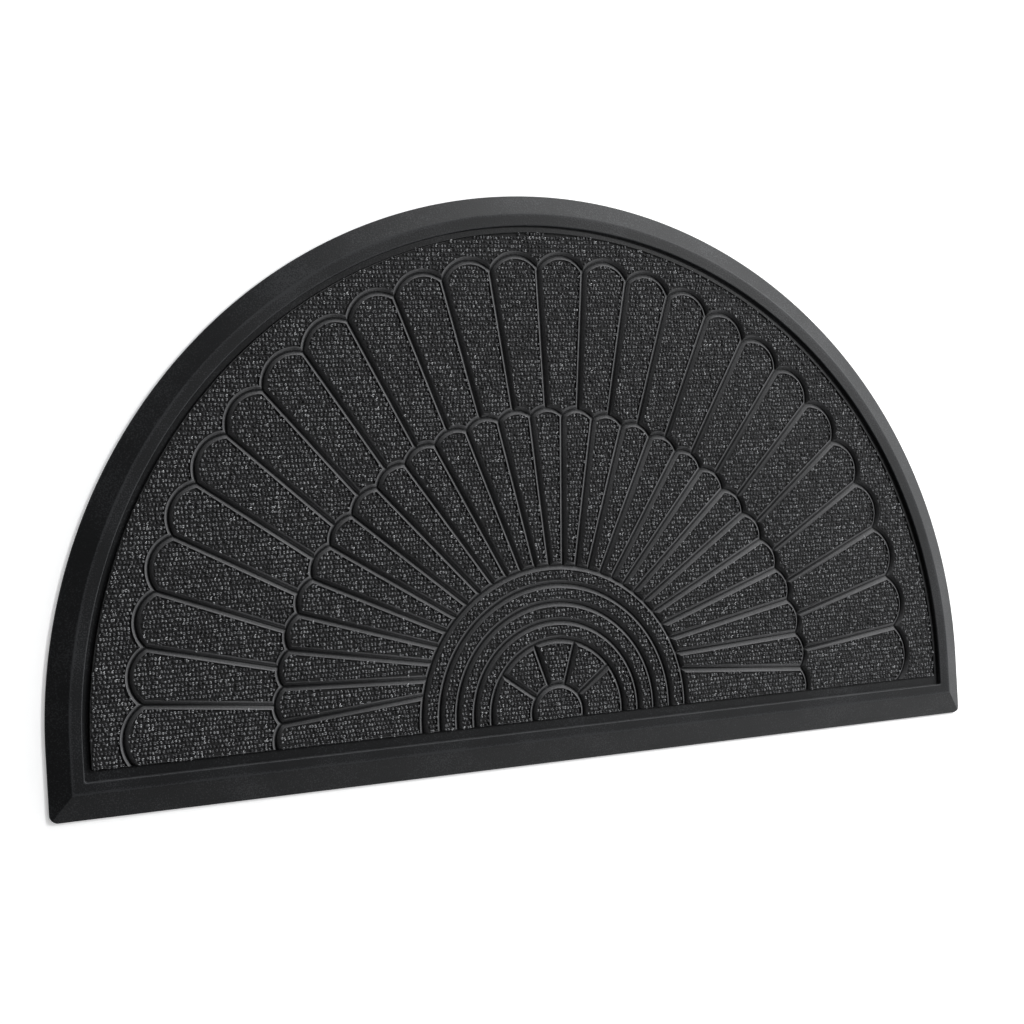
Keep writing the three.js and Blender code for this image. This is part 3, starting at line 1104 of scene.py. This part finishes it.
def toward(azimuth, elevation):
    """The direction to a light, from its azimuth and elevation in degrees."""
    a, e = math.radians(azimuth), math.radians(elevation)
    return Vector((math.cos(e) * math.cos(a), math.cos(e) * math.sin(a), math.sin(e)))


def aimed(name, data, place, target):
    """A light at a place, turned to its target."""
    made = bpy.data.objects.new(name, data)
    made.location = place
    made.rotation_euler = (Vector(target) - Vector(place)).to_track_quat("-Z", "Y").to_euler()
    bpy.context.scene.collection.objects.link(made)
    return made


def make_camera():
    data = bpy.data.cameras.new("camera")
    data.lens = FOCAL_LENGTH
    data.sensor_width = SENSOR_WIDTH
    made = bpy.data.objects.new("camera", data)
    made.location = CAMERA_PLACE
    made.rotation_euler = [math.radians(a) for a in CAMERA_TURN]
    bpy.context.scene.collection.objects.link(made)
    bpy.context.scene.camera = made


def make_world(strength):
    """Soft round lights on a dark studio wall, with most of the light low at the right."""
    world = bpy.data.worlds.new("soft studio")
    world.use_nodes = True
    tree = world.node_tree
    background = tree.nodes["Background"]
    direction = add(tree, "ShaderNodeTexCoord").outputs["Generated"]
    start, end = (math.cos(math.radians(a)) for a in SOFT_EDGE)
    level = 0.0
    for azimuth, elevation, power in SOFT_LIGHTS:
        axis = toward(azimuth, elevation)
        near = add(
            tree, "ShaderNodeVectorMath", {0: direction, 1: axis}, operation="DOT_PRODUCT"
        )
        light = add(
            tree,
            "ShaderNodeMapRange",
            {
                "Value": near.outputs["Value"],
                "From Min": start,
                "From Max": end,
                "To Min": 0.0,
                "To Max": power * strength,
            },
            interpolation_type="SMOOTHSTEP",
        )
        both = {0: light.outputs["Result"], 1: level}
        level = add(tree, "ShaderNodeMath", both, operation="ADD").outputs[0]
    tree.links.new(level, background.inputs["Strength"])
    background.inputs["Color"].default_value = (*linear("#fdfeff"), 1)
    bpy.context.scene.world = world


def make_floor(glow):
    """A plain white floor, partly lit from below as on a light table."""
    material, _, shader = new_material("white floor")
    shader.inputs["Base Color"].default_value = (*linear("#f4f4f4"), 1)
    shader.inputs["Roughness"].default_value = 0.9
    shader.inputs["Specular IOR Level"].default_value = 0.1
    shader.inputs["Emission Color"].default_value = (1, 1, 1, 1)
    shader.inputs["Emission Strength"].default_value = glow
    corners = [(x * FLOOR_REACH, y * FLOOR_REACH, 0) for x, y in FLOOR_SIDES]
    floor = mesh_object("floor", corners, [(0, 1, 2, 3)], [material])


class ENTRANCE_MAT_OT_add_stage(bpy.types.Operator):
    """Adds the camera, the floor and the soft studio light"""

    bl_idname = "entrance_mat.add_stage"
    bl_label = "Add stage"

    def execute(self, context):
        stage = context.scene.mat_stage
        make_camera()
        make_world(stage.studio_strength)
        make_floor(stage.floor_glow)
        key = bpy.data.lights.new("key", "AREA")
        key.energy = stage.key_power
        key.size = KEY_SIZE
        aimed("key", key, toward(*KEY_SIDE) * KEY_DISTANCE, (0, 0, 0))
        context.scene.view_settings.view_transform = "Standard"
        return {"FINISHED"}


class ENTRANCE_MAT_OT_add_rubber_base(bpy.types.Operator):
    """Adds the moulded rubber base with its bevel, band, rim and channel"""

    bl_idname = "entrance_mat.add_rubber_base"
    bl_label = "Add rubber base"

    def execute(self, context):
        body = body_rubber_and_line_shade(context.scene.mat_colours)
        base = make_rubber_base(context.scene.mat_sizes, body)
        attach(base, ROOT)
        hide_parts("rubber_base")
        return {"FINISHED"}


class ENTRANCE_MAT_OT_add_carpet(bpy.types.Operator):
    """Adds the pressed carpet sheet and its loop pile"""

    bl_idname = "entrance_mat.add_carpet"
    bl_label = "Add carpet"

    def execute(self, context):
        sizes, colours = context.scene.mat_sizes, context.scene.mat_colours
        materials = [body_rubber_and_line_shade(colours), line_rubber(colours), backing_fibre(colours)]
        sheet, vertices, tops = make_carpet_sheet(sizes, materials)
        yarn = yarn_fibre(colours)
        pile = make_pile(context.scene.mat_pile, sizes.backing_height, vertices, tops, yarn)
        for piece in [sheet, *pile]:
            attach(piece, ROOT)
        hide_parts("carpet_face")
        return {"FINISHED"}


class ENTRANCE_MAT_PT_panel(bpy.types.Panel):
    bl_idname = "ENTRANCE_MAT_PT_panel"
    bl_label = "Entrance mat"
    bl_space_type = "VIEW_3D"
    bl_region_type = "UI"
    bl_category = "Mat"

    def draw(self, context):
        for operator in OPERATORS:
            self.layout.operator(operator.bl_idname)
        for name, group in SETTINGS.items():
            box = self.layout.box()
            for key in group.__annotations__:
                box.prop(getattr(context.scene, name), key)


OPERATORS = (
    ENTRANCE_MAT_OT_add_stage,
    ENTRANCE_MAT_OT_add_rubber_base,
    ENTRANCE_MAT_OT_add_carpet,
)
CLASSES = (*SETTINGS.values(), *OPERATORS, ENTRANCE_MAT_PT_panel)


def register():
    for c in CLASSES:
        bpy.utils.register_class(c)
    for name, group in SETTINGS.items():
        setattr(bpy.types.Scene, name, bpy.props.PointerProperty(type=group))


def unregister():
    for name in SETTINGS:
        delattr(bpy.types.Scene, name)
    for c in reversed(CLASSES):
        bpy.utils.unregister_class(c)


def main():
    """Builds the mat on its stage."""
    register()
    bpy.ops.entrance_mat.add_stage()
    bpy.ops.entrance_mat.add_rubber_base()
    bpy.ops.entrance_mat.add_carpet()


if __name__ == "__main__":
    main()
